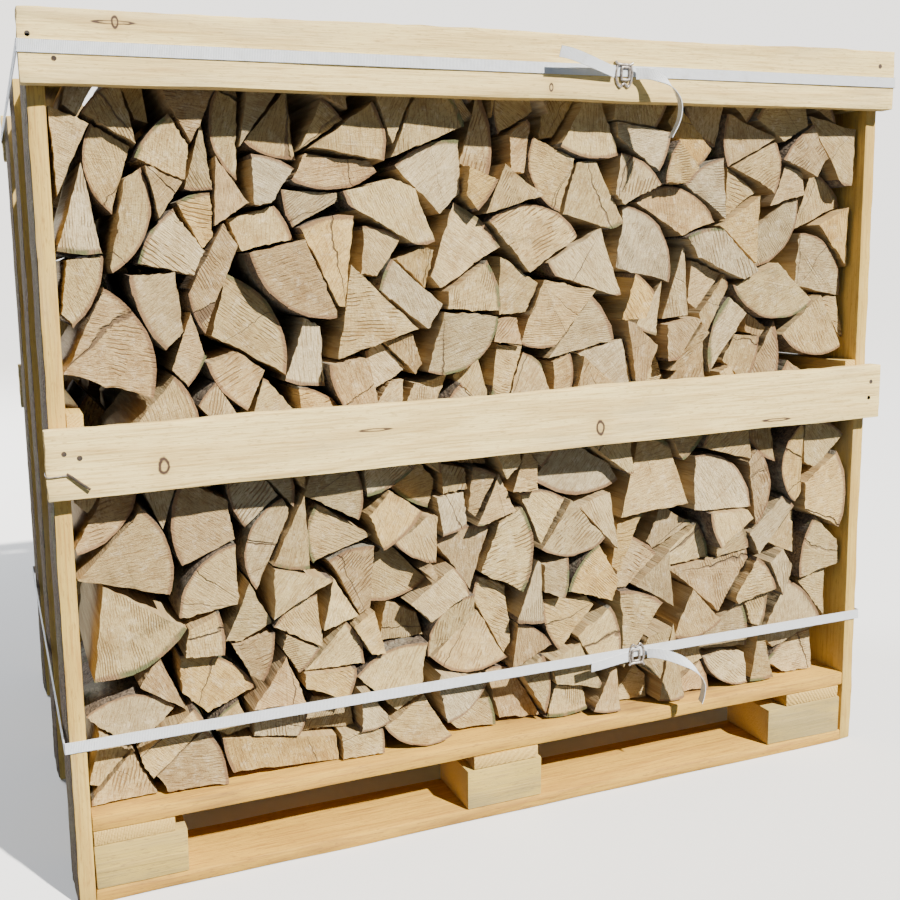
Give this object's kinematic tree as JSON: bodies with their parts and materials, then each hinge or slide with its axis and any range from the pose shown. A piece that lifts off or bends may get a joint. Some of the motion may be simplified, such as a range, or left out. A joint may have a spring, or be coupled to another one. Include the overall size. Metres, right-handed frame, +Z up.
{
  "type": "strapped crate pallet of split firewood",
  "caption": "Rough timber crate on a block pallet, filled with stacked split firewood logs and held by two woven straps with wire buckles.",
  "frame": {"origin": "middle of the footprint of the whole part, on the ground", "axes": "+X along the front to the right, +Y to the back, +Z up; the front is the side with the strap buckles"},
  "size_m": [1.2144, 0.879, 1.053],
  "materials": {
    "pallet_wood": "rough-sawn pine, orange-tan with dark stains",
    "block_wood": "rough-sawn pale grey-beige blocks",
    "upright_wood": "rough-sawn yellow pine with bark on the outer side",
    "board_wood": "rough-sawn pale spruce with fine grain and knots",
    "firewood": "split hardwood: saw-marked end grain, fibrous split faces, thin bark",
    "strapping": "white woven polyester strapping, slightly glossy",
    "buckle_wire": "galvanised wire"
  },
  "bodies": {
    "root": {"bottom_board_front": "pallet_wood", "block_front_left": "block_wood", "block_front_centre": "block_wood", "block_front_right": "block_wood", "bottom_board_middle": "pallet_wood", "block_middle_left": "block_wood", "block_middle_centre": "block_wood", "block_middle_right": "block_wood", "bottom_board_back": "pallet_wood", "block_back_left": "block_wood", "block_back_centre": "block_wood", "block_back_right": "block_wood", "stringer_left": "pallet_wood", "stringer_centre": "pallet_wood", "stringer_right": "pallet_wood", "deck_board_1": "pallet_wood", "deck_board_2": "pallet_wood", "deck_board_3": "pallet_wood", "deck_board_4": "pallet_wood", "deck_board_5": "pallet_wood", "deck_board_6": "pallet_wood", "upright_left_front": "upright_wood", "upright_left_middle": "upright_wood", "upright_left_back": "upright_wood", "upright_right_front": "upright_wood", "upright_right_middle": "upright_wood", "upright_right_back": "upright_wood", "rail_left_middle": "upright_wood", "rail_left_top": "upright_wood", "rail_right_middle": "upright_wood", "rail_right_top": "upright_wood", "front_board_top": "board_wood", "front_board_middle": "board_wood", "back_board_top": "board_wood", "back_board_middle": "board_wood", "logs_front_rank": "firewood", "logs_middle_rank": "firewood", "logs_back_rank": "firewood", "strap_upper": "strapping", "strap_lower": "strapping", "strap_tail_upper_left": "strapping", "strap_tail_upper_right": "strapping", "strap_tail_lower_left": "strapping", "strap_tail_lower_right": "strapping", "buckle_upper": "buckle_wire", "buckle_lower": "buckle_wire"}
  },
  "joints": []
}
